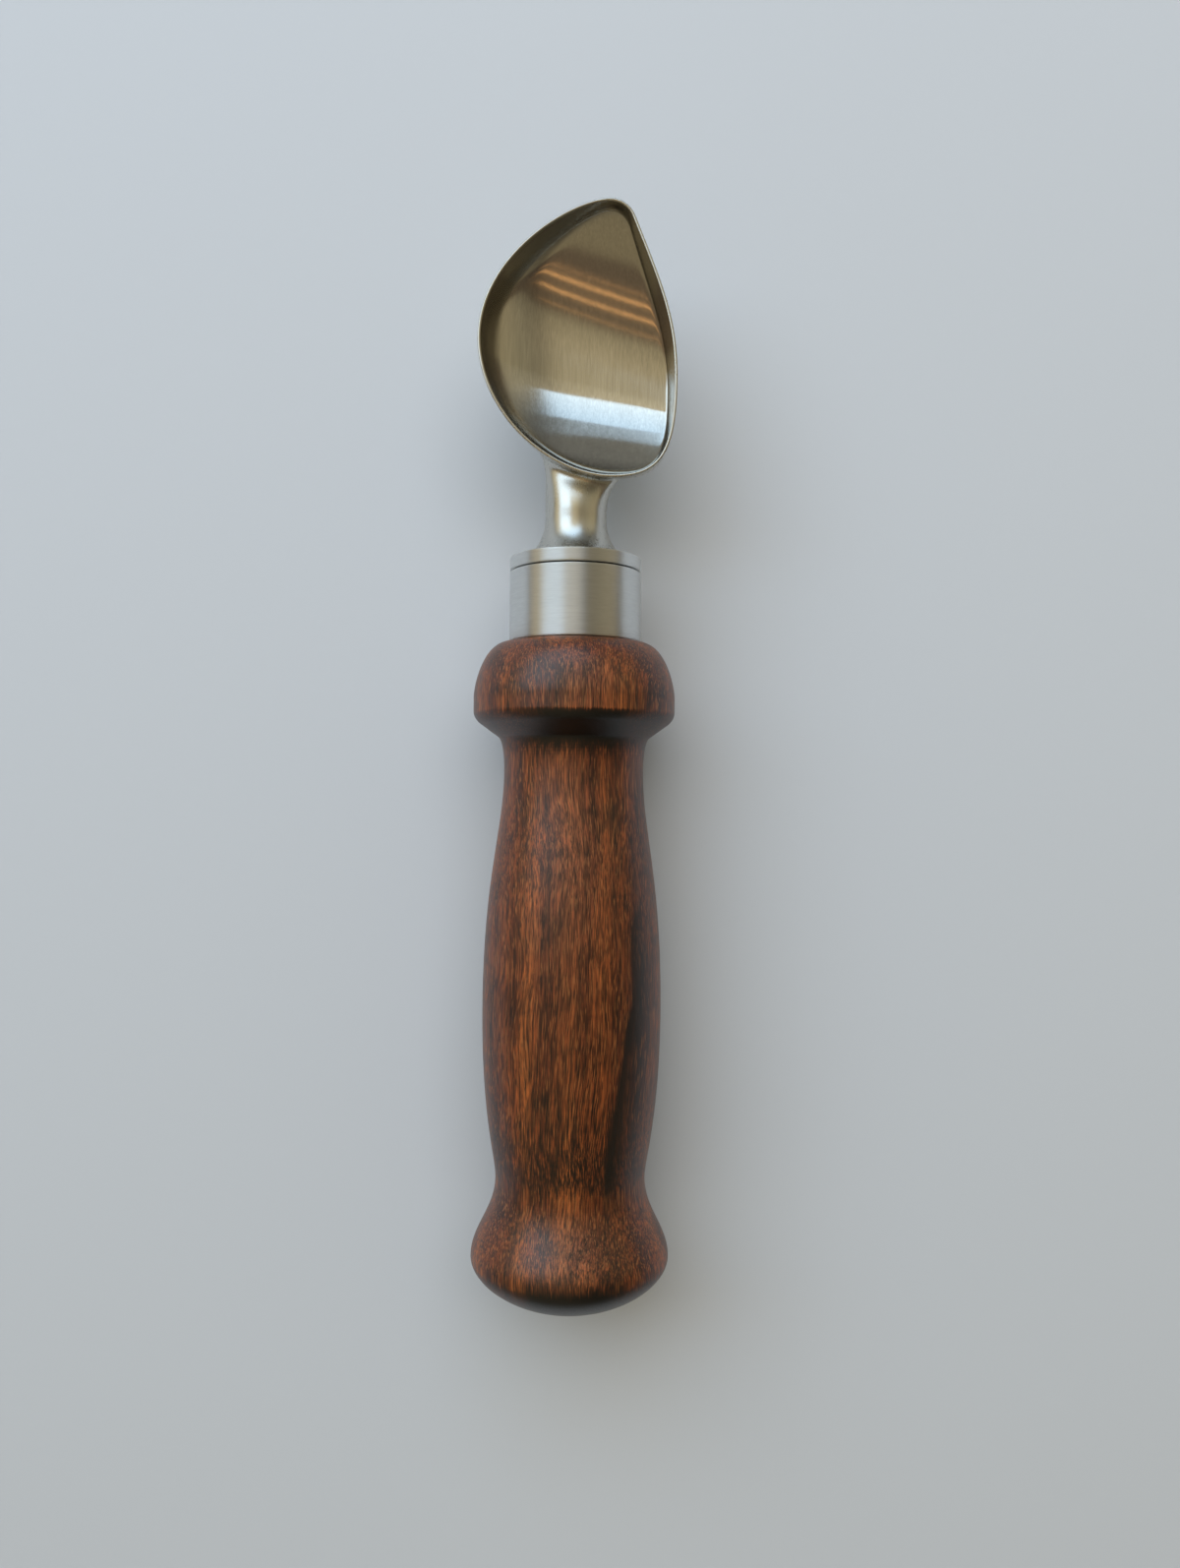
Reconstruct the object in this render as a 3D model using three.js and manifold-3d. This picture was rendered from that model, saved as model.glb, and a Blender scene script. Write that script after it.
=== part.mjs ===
// Ice cream scoop with a turned wooden handle. A cast steel head with a lopsided, pointed bowl carries a
// threaded stud, which passes through a steel collar and screws into a brass insert in the handle.
// Millimetres. The handle's axis runs along +Y towards the head, the bowl opens along +Z, and the scoop
// lies on the plane z = 0 with its outline centred on the origin.
import * as THREE from "three";
import { mergeVertices } from "three/addons/utils/BufferGeometryUtils.js";
import Module from "manifold-3d";

const wasm = await Module();
wasm.setup();

// Fits between pieces
const SEAT_GAP = 0.3; // between two faces that meet
const SLIP_GAP = 0.3; // around a piece that slides or turns inside another

// Handle: a turned profile. Where it runs parallel to the axis it has a radius and a place, and it keeps
// that heading for a stretch towards the butt end (back) and towards the head (ahead).
const HANDLE_LENGTH = 126.4; // butt end to the face that the collar stands on
const BUTT_FLAT_RADIUS = 6.5;
const BUTT_ROUND = 3; // reach of the butt's rounding along its flat
const KNOB = { radius: 19.1, fromButt: 8.6, back: 4.4, ahead: 4.5 };
const GRIP_END = { radius: 14.45, fromButt: 23.5, back: 6.5, ahead: 4 }; // narrow place before the knob
const BELLY = { radius: 17.25, fromButt: 56, back: 21, ahead: 26 }; // palm swell
const WAIST = { radius: 13.45, fromFace: 24.4, back: 12, ahead: 2.6 }; // narrow place before the shoulder
const COVE = { radius: 14.6, fromFace: 18.1, pull: 1 }; // where the waist's hollow meets the sloped back
const SHOULDER_RADIUS = 19.45; // the bead that the hand stops against, on which the scoop lies
const SHOULDER_BACK = { fromFace: 13.2, back: 0.8 }; // the two ends of the bead's straight crown
const SHOULDER_FRONT = { fromFace: 10.6, ahead: 2.9 };
const SHOULDER_SLOPE = THREE.MathUtils.degToRad(36); // the bead's back, up from a plane across the axis
const SHOULDER_ROUND = { reach: 1.6, pull: 1 }; // rounding between the sloped back and the crown
const FACE_MARGIN = 0.7; // of flat face outside the collar
const FACE_ROUND = 0.66; // share of the step up to the bead over which its front stays full

// Collar: a cup over the handle's tenon
const COLLAR_RADIUS = 12.7;
const COLLAR_LENGTH = 13.4;
const COLLAR_WALL = 1.5;
const COLLAR_END_WALL = 1.5;
const EDGE_CHAMFER = 0.35; // on the collar, the flange and the tenon

// Threaded stud and insert
const STUD_RADIUS = 4;
const STUD_REACH = 19; // below the flange
const STUD_ANCHOR = 7; // depth held in the head
const STUD_CHAMFER = 0.8;
const INSERT_WALL = 1.7;
const INSERT_LENGTH = 15;
const INSERT_SUNK = 0.5; // below the tenon's end
const DRIVER_SLOT_WIDTH = 1.8;
const DRIVER_SLOT_DEPTH = 1.6;
const BORE_RELIEF = 3; // free depth past the stud's tip

// Head: flange, neck and bowl in one casting
const FLANGE_INSET = 0.05; // inside the collar's outer face
const FLANGE_THICKNESS = 2.5;
const NECK_RADIUS = 5.95;
const NECK_FOOT_LENGTH = 7.5; // the hollow between the flange and the neck's narrow part
const NECK_FOOT_ROUND = 9.3; // radius of that hollow
const NECK_WAIST_LENGTH = 1; // the straight stretch before the neck opens towards the bowl
const NECK_SPREAD = 15.5; // half width of the neck's landing, measured along the rim
const NECK_SHIFT = 7.1; // the landing's middle, measured along the rim to the left of the heel
const LANDING_TOP = 0.985; // heights of the landing, as shares of the way from the bowl's bottom to its rim
const LANDING_SIDE = 0.9;
const LANDING_BOTTOM = 0.5;
const LANDING_SUNK = 0.4; // the neck ends this far inside the bowl's wall
const LANDING_RUN = 0.1; // outermost share of the landing, whose slope the neck arrives along
const FLARE_FULLNESS = 0.45; // how long the neck keeps its heading at each end of the flare, as a share of it

// Bowl: its rim is measured from the handle's axis and from the heel, the end nearest the handle
const HEEL_REACH = 13.8; // flange to heel
const RIM_HEIGHT = 8.5; // above the handle's axis
const BOWL_DEPTH = 11;
const BOWL_WALL = 1.3; // at the bottom
const LIP_WIDTH = 0.6; // the wall at the rim
const HEEL = new THREE.Vector2(6.6, 0);
const RIGHT = new THREE.Vector2(18.95, 18.7); // the straighter side
const LEFT = new THREE.Vector2(-18.65, 26.2); // the fuller side
const TIP_CORNER = new THREE.Vector2(9.3, 52.75); // where both sides would meet without the rounding
const TIP_ROUND = 4; // from that corner to where the rounding starts
const TIP_FULLNESS = 0.6; // share of the way from there to the corner that the rounding aims for
const TIP_RIGHT_HEADING = THREE.MathUtils.degToRad(112); // each side's heading at the tip, from +X
const TIP_LEFT_HEADING = THREE.MathUtils.degToRad(6.7);
const HEEL_PULL = new THREE.Vector2(11.4, 9.4); // how far the rim runs flat, left and right of the heel
const RIGHT_PULL = new THREE.Vector2(14.3, 11.1); // how far each side runs straight, towards heel and tip
const LEFT_PULL = new THREE.Vector2(14.6, 14.2);
const TIP_PULL = new THREE.Vector2(8.6, 13.4); // the same where the left and right sides reach the tip
const DEEPEST = new THREE.Vector2(2.5, 21);
// The bowl's floor rises from the deepest place in each direction: reach is where it would be level with the
// rim, and power is how late it rises. A steep wall joins it to the rim.
const FLOOR_LEAN = THREE.MathUtils.degToRad(24); // of the floor's long axis, towards the straighter side
const FLOOR_HEEL = { reach: 23, power: 1.6 };
const FLOOR_TIP = { reach: 34, power: 2 };
const FLOOR_SIDE = { reach: 61, power: 2 };
const FLOOR_LEFT = { reach: 24.1, power: 5 }; // straight across the handle, towards the fuller side
const WALL_TURN = { right: 0.5, left: 1.5 }; // width of the bend between the floor and the wall
const WALL_POWER = 1.5; // how soon the wall fades into the floor

// Facets
const TURNED_SIDES = 40;
const CURVE_STEPS = 5;
const RIM_STEPS = 84;
const BOWL_STEPS = 12;
const NECK_SIDES = 44;
const FOOT_STEPS = 4;
const FLARE_STEPS = 7;

// Places along the axis that follow from the sizes above
const COLLAR_BASE = HANDLE_LENGTH + SEAT_GAP;
const COLLAR_END = COLLAR_BASE + COLLAR_LENGTH;
const FLANGE_BASE = COLLAR_END + SEAT_GAP;
const FLANGE_TOP = FLANGE_BASE + FLANGE_THICKNESS;
const HEEL_STATION = FLANGE_TOP + HEEL_REACH;
const FLANGE_RADIUS = COLLAR_RADIUS - FLANGE_INSET;
const FACE_RADIUS = COLLAR_RADIUS + FACE_MARGIN;
const TENON_RADIUS = COLLAR_RADIUS - COLLAR_WALL - SLIP_GAP;
const TENON_END = COLLAR_END - COLLAR_END_WALL - SEAT_GAP;
const INSERT_END = TENON_END - INSERT_SUNK;
const INSERT_BASE = INSERT_END - INSERT_LENGTH;
const STUD_TIP = FLANGE_BASE - STUD_REACH;
const BORE_BASE = Math.min(STUD_TIP, INSERT_BASE) - BORE_RELIEF;
const STUD_BORE_RADIUS = STUD_RADIUS + SLIP_GAP;
const INSERT_RADIUS = STUD_BORE_RADIUS + INSERT_WALL;
const INSERT_BORE_RADIUS = INSERT_RADIUS + SLIP_GAP;

const wood = new THREE.MeshStandardMaterial({ color: 0x6b2f18, roughness: 0.42 });
const steel = new THREE.MeshStandardMaterial({ color: 0xb9b4a8, roughness: 0.32, metalness: 1 });
const brass = new THREE.MeshStandardMaterial({ color: 0xb08d4a, roughness: 0.35, metalness: 1 });

// A closed geometry as a solid that can be joined and cut.
function solidOf(geometry) {
  const bare = geometry.clone();
  bare.deleteAttribute("normal");
  bare.deleteAttribute("uv");
  const merged = mergeVertices(bare);
  const vertProperties = new Float32Array(merged.attributes.position.array);
  const triVerts = new Uint32Array(merged.index.array);
  return new wasm.Manifold(new wasm.Mesh({ numProp: 3, vertProperties, triVerts }));
}

function geometryOf(solid) {
  const { vertProperties, triVerts } = solid.getMesh();
  const geometry = new THREE.BufferGeometry();
  geometry.setAttribute("position", new THREE.BufferAttribute(vertProperties, 3));
  geometry.setIndex(new THREE.BufferAttribute(triVerts, 1));
  geometry.computeVertexNormals();
  return geometry;
}

// A profile of radii and stations turned about the axis. Its flats stand on the true circle, with one of
// them underneath, so that a turned piece lies on a flat at its own radius.
function turned(profile) {
  const spread = 1 / Math.cos(Math.PI / TURNED_SIDES);
  const points = profile.map((point) => new THREE.Vector2(point.x * spread, point.y));
  return new THREE.LatheGeometry(points, TURNED_SIDES, Math.PI / TURNED_SIDES);
}

function corners(...pairs) {
  return pairs.map(([radius, station]) => new THREE.Vector2(radius, station));
}

// Rings of equal count joined into one closed surface, with a fan from a middle point at each end.
function loft(rings, firstMiddle, lastMiddle) {
  const sides = rings[0].length;
  const points = [...rings.flat(), firstMiddle, lastMiddle];
  const first = points.length - 2;
  const last = points.length - 1;
  const lastRing = (rings.length - 1) * sides;
  const index = [];
  for (let side = 0; side < sides; side++) {
    const next = (side + 1) % sides;
    index.push(first, next, side);
    index.push(last, lastRing + side, lastRing + next);
    for (let ring = 0; ring < rings.length - 1; ring++) {
      const low = ring * sides;
      const high = low + sides;
      index.push(low + side, low + next, high + next);
      index.push(low + side, high + next, high + side);
    }
  }
  return new THREE.BufferGeometry().setFromPoints(points).setIndex(index);
}

// The rim seen from above, from the heel along the straighter side to the tip and back along the fuller side.
function rimCurve() {
  const heading = (angle) => new THREE.Vector2(Math.cos(angle), Math.sin(angle));
  const rightSide = heading(TIP_RIGHT_HEADING);
  const leftSide = heading(TIP_LEFT_HEADING);
  const tipRight = TIP_CORNER.clone().addScaledVector(rightSide, -TIP_ROUND);
  const tipLeft = TIP_CORNER.clone().addScaledVector(leftSide, -TIP_ROUND);
  const rightIn = tipRight.clone().addScaledVector(rightSide, -TIP_PULL.y);
  const leftOut = tipLeft.clone().addScaledVector(leftSide, -TIP_PULL.x);
  const roundIn = tipRight.clone().lerp(TIP_CORNER, TIP_FULLNESS);
  const roundOut = tipLeft.clone().lerp(TIP_CORNER, TIP_FULLNESS);
  const rim = new THREE.Path();
  rim.moveTo(HEEL.x, HEEL.y);
  rim.bezierCurveTo(HEEL.x + HEEL_PULL.y, HEEL.y, RIGHT.x, RIGHT.y - RIGHT_PULL.x, RIGHT.x, RIGHT.y);
  rim.bezierCurveTo(RIGHT.x, RIGHT.y + RIGHT_PULL.y, rightIn.x, rightIn.y, tipRight.x, tipRight.y);
  rim.bezierCurveTo(roundIn.x, roundIn.y, roundOut.x, roundOut.y, tipLeft.x, tipLeft.y);
  rim.bezierCurveTo(leftOut.x, leftOut.y, LEFT.x, LEFT.y + LEFT_PULL.y, LEFT.x, LEFT.y);
  rim.bezierCurveTo(LEFT.x, LEFT.y - LEFT_PULL.x, HEEL.x - HEEL_PULL.x, HEEL.y, HEEL.x, HEEL.y);
  return rim;
}

const rim = rimCurve();
const rimLength = rim.getLength();

// A point of the bowl's wall: `along` runs once round the rim, `level` from the bottom (0) to the rim (1),
// and `inset` from the outer face (0) to the inner face (the wall's thickness at the bottom).
function bowlPoint(along, level, inset) {
  const share = THREE.MathUtils.euclideanModulo(along, 1);
  const tangent = rim.getTangent(share);
  const inward = new THREE.Vector2(-tangent.y, tangent.x);
  const arm = rim.getPoint(share).addScaledVector(inward, (inset * LIP_WIDTH) / BOWL_WALL).sub(DEEPEST);
  const plan = arm.clone().multiplyScalar(level);
  const leaning = plan.clone().rotateAround(new THREE.Vector2(), FLOOR_LEAN);
  const end = leaning.y > 0 ? FLOOR_TIP : FLOOR_HEEL;
  const endRise = (Math.abs(leaning.y) / end.reach) ** end.power;
  const sideRise = (Math.abs(leaning.x) / FLOOR_SIDE.reach) ** FLOOR_SIDE.power;
  const leftRise = (Math.max(-plan.x, 0) / FLOOR_LEFT.reach) ** FLOOR_LEFT.power;
  const depth = BOWL_DEPTH * (1 - Math.min(endRise + sideRise + leftRise, 1)) + BOWL_WALL - inset;
  const turn = THREE.MathUtils.lerp(WALL_TURN.right, WALL_TURN.left, (1 - arm.x / arm.length()) / 2);
  const wall = Math.exp(-(((arm.length() * (1 - level)) / turn) ** WALL_POWER));
  return new THREE.Vector3(
    DEEPEST.x + plan.x,
    HEEL_STATION + DEEPEST.y + plan.y,
    RIM_HEIGHT - depth * (1 - wall),
  );
}

// The bowl's outer form (no inset) or its hollow (inset by the wall, and open past the rim).
function bowlSolid(inset, pastRim) {
  const ring = (level) =>
    Array.from({ length: RIM_STEPS }, (_, step) => bowlPoint(step / RIM_STEPS, level, inset));
  const rings = [];
  for (let step = 1; step <= BOWL_STEPS; step++) {
    rings.push(ring(Math.sin((step / BOWL_STEPS) * (Math.PI / 2))));
  }
  const top = new THREE.Vector3(DEEPEST.x, HEEL_STATION + DEEPEST.y, RIM_HEIGHT + pastRim);
  if (pastRim > 0) {
    rings.push(ring(1).map((point) => point.setZ(RIM_HEIGHT + pastRim)));
  }
  return solidOf(loft(rings, bowlPoint(0, 0, inset), top));
}

// The neck: a hollow foot on the flange, a straight waist, and a flare that lands on the bowl's outer wall.
function neckSolid() {
  const turns = Array.from({ length: NECK_SIDES }, (_, side) => (-2 * Math.PI * side) / NECK_SIDES);
  const circle = (radius, station) =>
    turns.map((turn) => new THREE.Vector3(radius * Math.cos(turn), station, radius * Math.sin(turn)));
  const footRadius = (below) => NECK_RADIUS + NECK_FOOT_ROUND - Math.sqrt(NECK_FOOT_ROUND ** 2 - below ** 2);
  const rings = [circle(footRadius(NECK_FOOT_LENGTH), FLANGE_TOP - FLANGE_THICKNESS / 2)];
  for (let step = 0; step <= FOOT_STEPS; step++) {
    const below = NECK_FOOT_LENGTH * (1 - step / FOOT_STEPS);
    rings.push(circle(footRadius(below), FLANGE_TOP + NECK_FOOT_LENGTH - below));
  }
  const flareBase = FLANGE_TOP + NECK_FOOT_LENGTH + NECK_WAIST_LENGTH;
  const landing = (turn, share) => {
    const along = (share * NECK_SPREAD * Math.cos(turn) - NECK_SHIFT) / rimLength;
    const far = Math.sin(turn) > 0 ? LANDING_TOP : LANDING_BOTTOM;
    const level = LANDING_SIDE + share * Math.abs(Math.sin(turn)) * (far - LANDING_SIDE);
    return bowlPoint(along, level, LANDING_SUNK);
  };
  const flares = turns.map((turn) => {
    const start = new THREE.Vector3(NECK_RADIUS * Math.cos(turn), flareBase, NECK_RADIUS * Math.sin(turn));
    const end = landing(turn, 1);
    const arrival = end.clone().sub(landing(turn, 1 - LANDING_RUN)).normalize();
    const reach = start.distanceTo(end) * FLARE_FULLNESS;
    const leave = start.clone().add(new THREE.Vector3(0, reach, 0));
    const arrive = end.clone().addScaledVector(arrival, -reach);
    return new THREE.CubicBezierCurve3(start, leave, arrive, end);
  });
  for (let step = 0; step <= FLARE_STEPS; step++) {
    rings.push(flares.map((flare) => flare.getPoint(step / FLARE_STEPS)));
  }
  const foot = new THREE.Vector3(0, FLANGE_TOP - FLANGE_THICKNESS / 2, 0);
  return solidOf(loft(rings, foot, landing(0, 0)));
}

function scoopHead() {
  const flange = corners(
    [0, FLANGE_BASE],
    [FLANGE_RADIUS - EDGE_CHAMFER, FLANGE_BASE],
    [FLANGE_RADIUS, FLANGE_BASE + EDGE_CHAMFER],
    [FLANGE_RADIUS, FLANGE_TOP - EDGE_CHAMFER],
    [FLANGE_RADIUS - EDGE_CHAMFER, FLANGE_TOP],
    [0, FLANGE_TOP],
  );
  const studHole = corners(
    [0, FLANGE_BASE - FLANGE_THICKNESS],
    [STUD_BORE_RADIUS, FLANGE_BASE - FLANGE_THICKNESS],
    [STUD_BORE_RADIUS, FLANGE_BASE + STUD_ANCHOR + SEAT_GAP],
    [0, FLANGE_BASE + STUD_ANCHOR + SEAT_GAP],
  );
  const body = bowlSolid(0, 0).add(neckSolid()).add(solidOf(turned(flange)));
  return geometryOf(body.subtract(bowlSolid(BOWL_WALL, BOWL_WALL)).subtract(solidOf(turned(studHole))));
}

function threadedStud() {
  const top = FLANGE_BASE + STUD_ANCHOR;
  const profile = corners(
    [0, STUD_TIP],
    [STUD_RADIUS - STUD_CHAMFER, STUD_TIP],
    [STUD_RADIUS, STUD_TIP + STUD_CHAMFER],
    [STUD_RADIUS, top - STUD_CHAMFER],
    [STUD_RADIUS - STUD_CHAMFER, top],
    [0, top],
  );
  return turned(profile);
}

function collar() {
  const inside = COLLAR_RADIUS - COLLAR_WALL;
  const ceiling = COLLAR_END - COLLAR_END_WALL;
  const profile = corners(
    [inside, COLLAR_BASE],
    [COLLAR_RADIUS - EDGE_CHAMFER, COLLAR_BASE],
    [COLLAR_RADIUS, COLLAR_BASE + EDGE_CHAMFER],
    [COLLAR_RADIUS, COLLAR_END - EDGE_CHAMFER],
    [COLLAR_RADIUS - EDGE_CHAMFER, COLLAR_END],
    [STUD_BORE_RADIUS, COLLAR_END],
    [STUD_BORE_RADIUS, ceiling],
    [inside, ceiling],
    [inside, COLLAR_BASE],
  );
  return turned(profile);
}

function threadedInsert() {
  const profile = corners(
    [STUD_BORE_RADIUS, INSERT_BASE],
    [INSERT_RADIUS - EDGE_CHAMFER, INSERT_BASE],
    [INSERT_RADIUS, INSERT_BASE + EDGE_CHAMFER],
    [INSERT_RADIUS, INSERT_END],
    [STUD_BORE_RADIUS, INSERT_END],
    [STUD_BORE_RADIUS, INSERT_BASE],
  );
  const acrossInsert = 3 * INSERT_RADIUS;
  const slot = new THREE.BoxGeometry(acrossInsert, 2 * DRIVER_SLOT_DEPTH, DRIVER_SLOT_WIDTH);
  slot.translate(0, INSERT_END, 0);
  return geometryOf(solidOf(turned(profile)).subtract(solidOf(slot)));
}

function handle() {
  const slope = new THREE.Vector2(Math.cos(SHOULDER_SLOPE), Math.sin(SHOULDER_SLOPE));
  const waistStation = HANDLE_LENGTH - WAIST.fromFace;
  const crownBack = HANDLE_LENGTH - SHOULDER_BACK.fromFace;
  const crownFront = HANDLE_LENGTH - SHOULDER_FRONT.fromFace;
  const cove = new THREE.Vector2(COVE.radius, HANDLE_LENGTH - COVE.fromFace);
  const coveIn = cove.clone().addScaledVector(slope, -COVE.pull);
  const slopeLength = (SHOULDER_RADIUS - COVE.radius) / slope.x - SHOULDER_ROUND.reach;
  const slopeEnd = cove.clone().addScaledVector(slope, slopeLength);
  const roundIn = slopeEnd.clone().addScaledVector(slope, SHOULDER_ROUND.pull);
  const fullFront = THREE.MathUtils.lerp(FACE_RADIUS, SHOULDER_RADIUS, FACE_ROUND);
  const outline = new THREE.Path();
  outline.moveTo(0, 0);
  outline.lineTo(BUTT_FLAT_RADIUS, 0);
  outline.bezierCurveTo(
    BUTT_FLAT_RADIUS + BUTT_ROUND, 0,
    KNOB.radius, KNOB.fromButt - KNOB.back,
    KNOB.radius, KNOB.fromButt,
  );
  const swells = [KNOB, GRIP_END, BELLY, { ...WAIST, fromButt: waistStation }];
  swells.slice(1).forEach((swell, index) => {
    const last = swells[index];
    outline.bezierCurveTo(
      last.radius, last.fromButt + last.ahead,
      swell.radius, swell.fromButt - swell.back,
      swell.radius, swell.fromButt,
    );
  });
  outline.bezierCurveTo(WAIST.radius, waistStation + WAIST.ahead, coveIn.x, coveIn.y, cove.x, cove.y);
  outline.lineTo(slopeEnd.x, slopeEnd.y);
  outline.bezierCurveTo(
    roundIn.x, roundIn.y,
    SHOULDER_RADIUS, crownBack - SHOULDER_BACK.back,
    SHOULDER_RADIUS, crownBack,
  );
  outline.lineTo(SHOULDER_RADIUS, crownFront);
  outline.bezierCurveTo(
    SHOULDER_RADIUS, crownFront + SHOULDER_FRONT.ahead,
    fullFront, HANDLE_LENGTH,
    FACE_RADIUS, HANDLE_LENGTH,
  );
  outline.lineTo(TENON_RADIUS, HANDLE_LENGTH);
  outline.lineTo(TENON_RADIUS, TENON_END - EDGE_CHAMFER);
  outline.lineTo(TENON_RADIUS - EDGE_CHAMFER, TENON_END);
  outline.lineTo(INSERT_BORE_RADIUS, TENON_END);
  outline.lineTo(INSERT_BORE_RADIUS, INSERT_BASE - SEAT_GAP);
  outline.lineTo(STUD_BORE_RADIUS, INSERT_BASE - SEAT_GAP);
  outline.lineTo(STUD_BORE_RADIUS, BORE_BASE);
  outline.lineTo(0, BORE_BASE);
  return turned(outline.getPoints(CURVE_STEPS));
}

function piece(name, geometry, material) {
  const mesh = new THREE.Mesh(geometry, material);
  mesh.name = name;
  return mesh;
}

const scoop = new THREE.Group();
scoop.add(
  piece("handle", handle(), wood),
  piece("threaded_insert", threadedInsert(), brass),
  piece("collar", collar(), steel),
  piece("threaded_stud", threadedStud(), steel),
  piece("scoop_head", scoopHead(), steel),
);
const tipStation = HEEL_STATION + Math.max(...rim.getSpacedPoints(RIM_STEPS).map((point) => point.y));
const lyingHeight = Math.max(SHOULDER_RADIUS, KNOB.radius);
scoop.position.set(0, -tipStation / 2, lyingHeight);

export default scoop;
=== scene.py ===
import math

import bmesh
import bpy
import numpy as np
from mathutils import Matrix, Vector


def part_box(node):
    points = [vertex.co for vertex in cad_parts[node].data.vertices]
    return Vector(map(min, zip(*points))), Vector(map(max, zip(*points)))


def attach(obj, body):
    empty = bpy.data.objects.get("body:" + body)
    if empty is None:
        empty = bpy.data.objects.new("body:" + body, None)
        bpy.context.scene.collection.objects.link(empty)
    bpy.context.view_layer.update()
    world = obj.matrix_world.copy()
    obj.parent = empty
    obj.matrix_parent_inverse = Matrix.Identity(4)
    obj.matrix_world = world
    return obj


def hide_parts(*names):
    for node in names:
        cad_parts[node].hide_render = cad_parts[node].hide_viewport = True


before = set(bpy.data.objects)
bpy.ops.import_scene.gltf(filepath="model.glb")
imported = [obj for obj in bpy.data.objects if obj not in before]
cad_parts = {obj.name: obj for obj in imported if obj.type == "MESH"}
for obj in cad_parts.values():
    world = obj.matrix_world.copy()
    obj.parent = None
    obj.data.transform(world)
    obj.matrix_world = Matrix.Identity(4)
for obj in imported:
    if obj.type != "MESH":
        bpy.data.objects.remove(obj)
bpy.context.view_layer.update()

MM = 0.001


def span(node):
    """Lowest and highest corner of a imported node, in millimetres."""
    low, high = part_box(node)
    return np.array(low) / MM, np.array(high) / MM


HANDLE_LOW, HANDLE_HIGH = span("handle")
COLLAR_LOW, COLLAR_HIGH = span("collar")
HEAD_LOW = span("scoop_head")[0]
STUD_LOW, STUD_HIGH = span("threaded_stud")
INSERT_LOW, INSERT_HIGH = span("threaded_insert")

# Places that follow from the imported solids
BUTT = HANDLE_LOW[1]
AXIS_HEIGHT = (COLLAR_LOW[2] + COLLAR_HIGH[2]) / 2
SHOULDER_RADIUS = (HANDLE_HIGH[0] - HANDLE_LOW[0]) / 2
TENON_END = HANDLE_HIGH[1]
COLLAR_RADIUS = (COLLAR_HIGH[0] - COLLAR_LOW[0]) / 2
COLLAR_BASE = COLLAR_LOW[1]
COLLAR_END = COLLAR_HIGH[1]
FLANGE_BASE = HEAD_LOW[1]
FLANGE_RADIUS = AXIS_HEIGHT - HEAD_LOW[2]
STUD_RADIUS = (STUD_HIGH[0] - STUD_LOW[0]) / 2
STUD_TIP = STUD_LOW[1]
STUD_TOP = STUD_HIGH[1]
INSERT_RADIUS = (INSERT_HIGH[0] - INSERT_LOW[0]) / 2
INSERT_BASE = INSERT_LOW[1]
INSERT_END = INSERT_HIGH[1]

# Fits between pieces
GAP = 0.3
WOOD_FACE = COLLAR_BASE - GAP
STUD_BORE_RADIUS = STUD_RADIUS + GAP
INSERT_BORE_RADIUS = INSERT_RADIUS + GAP

# Handle: turned profile, in the terms of the solid's own source
BUTT_FLAT_RADIUS = 6.5
BUTT_ROUND = 3.0
KNOB = {"radius": 19.1, "place": BUTT + 8.6, "back": 4.4, "ahead": 4.5}
GRIP_END = {"radius": 14.45, "place": BUTT + 23.5, "back": 6.5, "ahead": 4.0}
BELLY = {"radius": 17.25, "place": BUTT + 56.0, "back": 21.0, "ahead": 26.0}
WAIST = {"radius": 13.45, "place": WOOD_FACE - 24.4, "back": 12.0, "ahead": 2.6}
COVE = {"radius": 14.6, "place": WOOD_FACE - 18.1, "pull": 1.0}
CROWN_BACK = {"place": WOOD_FACE - 13.2, "back": 0.8}
CROWN_FRONT = {"place": WOOD_FACE - 10.6, "ahead": 2.9}
SHOULDER_SLOPE = math.radians(36)
SHOULDER_ROUND = {"reach": 1.6, "pull": 1.0}
FACE_RADIUS = COLLAR_RADIUS + 0.7
FACE_ROUND = 0.66
TENON_FOOT = 1.0
BORE_RELIEF = 3.0

# Collar and flange
COLLAR_WALL = 1.5
TENON_RADIUS = COLLAR_RADIUS - COLLAR_WALL - GAP
EDGE_ROUND = 0.35
FLANGE_THICKNESS = 2.5
FLANGE_TOP = FLANGE_BASE + FLANGE_THICKNESS

# Threads: crest and root are shares of half a pitch
THREAD_CREST = 0.2
THREAD_ROOT = 0.25
STUD_PITCH = 1.25
STUD_THREAD_DEPTH = 0.68
STUD_LEAD_IN = 0.8
INSERT_PITCH = 2.5
INSERT_THREAD_DEPTH = 0.7
INSERT_END_FLAT = INSERT_RADIUS - 1.2
DRIVER_SLOT = {"length": 3 * INSERT_RADIUS, "depth": 1.6, "width": 1.8}

# Neck: the landing's levels are shares of the way from the bowl's bottom to its rim
SOCKET_END = STUD_TOP + GAP
NECK_RADIUS = 5.95
NECK_FOOT_LENGTH = 7.5
NECK_FOOT_ROUND = 9.3
NECK_WAIST_LENGTH = 1.0
FLARE_BASE = FLANGE_TOP + NECK_FOOT_LENGTH + NECK_WAIST_LENGTH
NECK_SPREAD = 15.5
NECK_SHIFT = 7.1
LANDING_TOP = 0.985
LANDING_SIDE = 0.9
LANDING_BOTTOM = 0.5
FLARE_FULLNESS = 0.45
ARRIVAL_STEP = 0.01

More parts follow.
